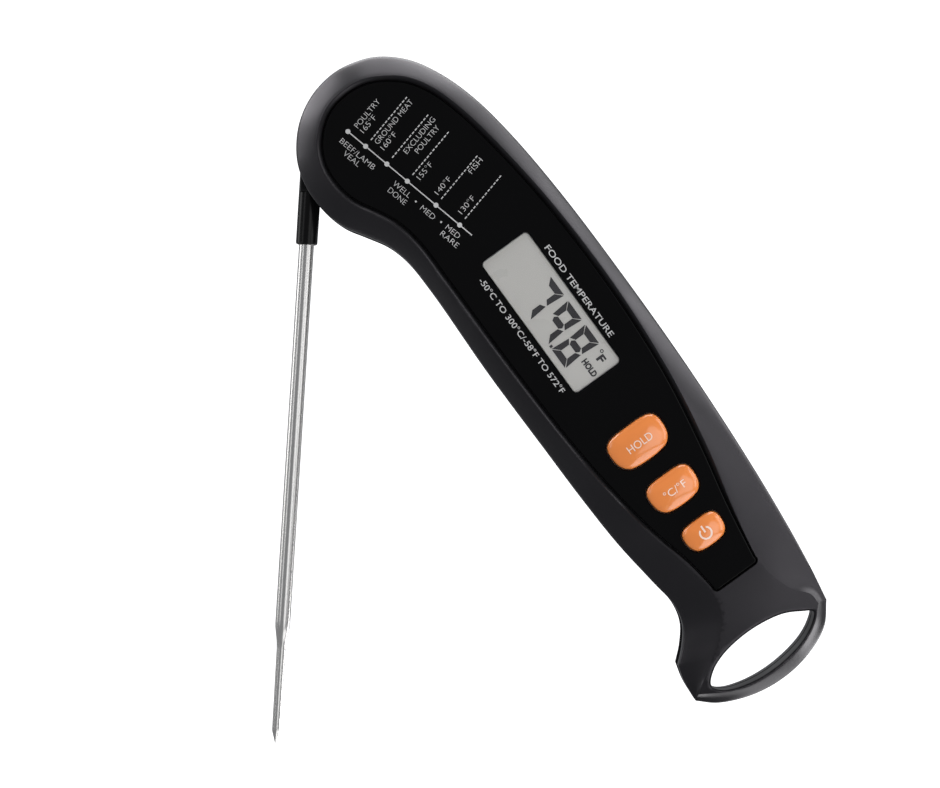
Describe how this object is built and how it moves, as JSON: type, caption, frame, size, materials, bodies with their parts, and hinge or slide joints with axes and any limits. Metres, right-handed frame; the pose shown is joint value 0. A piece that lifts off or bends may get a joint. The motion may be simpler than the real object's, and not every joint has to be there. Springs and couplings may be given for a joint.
{
  "type": "folding meat thermometer",
  "caption": "Folding digital meat thermometer with a hanging ring, a display, push buttons and a steel probe that swings out of a side slot.",
  "frame": {"origin": "centre of the flat face of the magnet in the back", "axes": "+Y out of the back, square to the magnet's face; +Z along the body from the hanging ring to the head; +X to the right seen from the front; the display faces -Y"},
  "size_m": [0.1226, 0.0204, 0.165],
  "materials": {
    "housing_plastic": "fine matte black",
    "panel_gloss": "high gloss black",
    "window_clear": "clear moulded plastic",
    "lcd_glass": "grey liquid-crystal cell",
    "white_plastic": "satin white",
    "light_guide": "frosted",
    "connector_rubber": "layered silicone",
    "board_green": "solder-masked fibreglass",
    "chip_epoxy": "moulded epoxy",
    "switch_black": "satin black",
    "button_orange": "glossy orange",
    "stainless_steel": "drawn and polished",
    "screw_steel": "plated",
    "contact_nickel": "nickel-plated spring strip",
    "cell_steel": "satin steel can",
    "magnet_nickel": "nickel-plated",
    "seal_rubber": "soft black",
    "arm_plastic": "semi-gloss black",
    "sensor_bead": "epoxy drop",
    "wire_red": "insulated wire"
  },
  "bodies": {
    "body": {"front_shell": "housing_plastic", "back_shell": "housing_plastic", "face_panel": "panel_gloss", "display_window": "window_clear", "lcd_glass": "lcd_glass", "lcd_frame": "white_plastic", "backlight_plate": "light_guide", "connector_strip": "connector_rubber", "circuit_board": "board_green", "controller_chip": "chip_epoxy", "hold_switch": "switch_black", "unit_switch": "switch_black", "power_switch": "switch_black", "coin_cell": "cell_steel", "contact_minus": "contact_nickel", "contact_plus": "contact_nickel", "back_magnet": "magnet_nickel", "case_seal": "seal_rubber", "case_screw_1": "screw_steel", "case_screw_2": "screw_steel", "case_screw_3": "screw_steel", "case_screw_4": "screw_steel", "board_lead": "wire_red", "pivot_bush": "stainless_steel", "pivot_washer": "stainless_steel", "pivot_screw": "screw_steel"},
    "probe": {"probe_arm": "arm_plastic", "probe_tube": "stainless_steel", "thermistor": "sensor_bead", "probe_lead": "wire_red", "pivot_seal": "seal_rubber"},
    "hold_key": {"hold_button": "button_orange"},
    "unit_key": {"unit_button": "button_orange"},
    "power_key": {"power_button": "button_orange"},
    "cap_ring": {"battery_cap_seal": "seal_rubber"},
    "cap": {"battery_cap": "housing_plastic"}
  },
  "joints": [
    {"name": "probe_fold", "type": "hinge", "parent": "body", "child": "probe", "pos_m": [-0.00565, -0.0084, 0.0631], "axis": [0, 1, 0], "range_deg": [-39.6, 140.4]},
    {"name": "hold_press", "type": "slide", "parent": "body", "child": "hold_key", "axis": [0, 1, 0], "range_m": [0, 0.0006], "stiffness_N_per_m": 2000},
    {"name": "unit_press", "type": "slide", "parent": "body", "child": "unit_key", "axis": [0, 1, 0], "range_m": [0, 0.0006], "stiffness_N_per_m": 2000},
    {"name": "power_press", "type": "slide", "parent": "body", "child": "power_key", "axis": [0, 1, 0], "range_m": [0, 0.0006], "stiffness_N_per_m": 2000},
    {"name": "cap_lift", "type": "slide", "parent": "body", "child": "cap_ring", "axis": [0, 1, 0], "range_m": [0, 0.0015]},
    {"name": "cap_turn", "type": "hinge", "parent": "cap_ring", "child": "cap", "pos_m": [0.0012, -0.0006, -0.034], "axis": [0, 1, 0], "range_deg": [0, 360]}
  ],
  "couplings": [
    {"joint": "cap_turn", "follows": "cap_lift", "rad_per_m": 4188.8}
  ]
}
